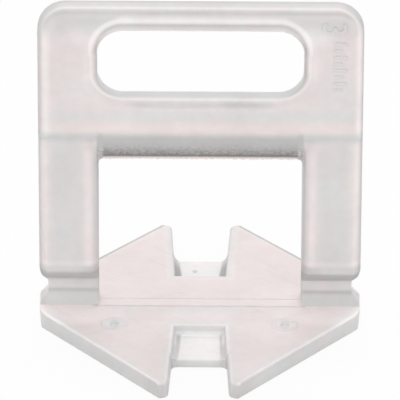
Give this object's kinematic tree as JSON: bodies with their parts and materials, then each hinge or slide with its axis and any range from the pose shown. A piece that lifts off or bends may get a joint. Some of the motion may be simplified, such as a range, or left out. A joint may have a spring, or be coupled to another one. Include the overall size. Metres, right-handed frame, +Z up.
{
  "type": "tile levelling clip",
  "caption": "Break-off tile levelling clip: a thin arrow-shaped base with notches and webs, snap-off necks, and an upright frame with a wedge window and a finger slot.",
  "frame": {"origin": "middle of the underside of the base plate", "axes": "+X along the joint, +Y across the joint, away from the ejector marks, +Z up the frame"},
  "size_m": [0.035, 0.0368, 0.038],
  "materials": {
    "natural_plastic": "natural milky plastic, slightly translucent, satin"
  },
  "bodies": {
    "root": {"levelling_clip": "natural_plastic"}
  },
  "joints": []
}
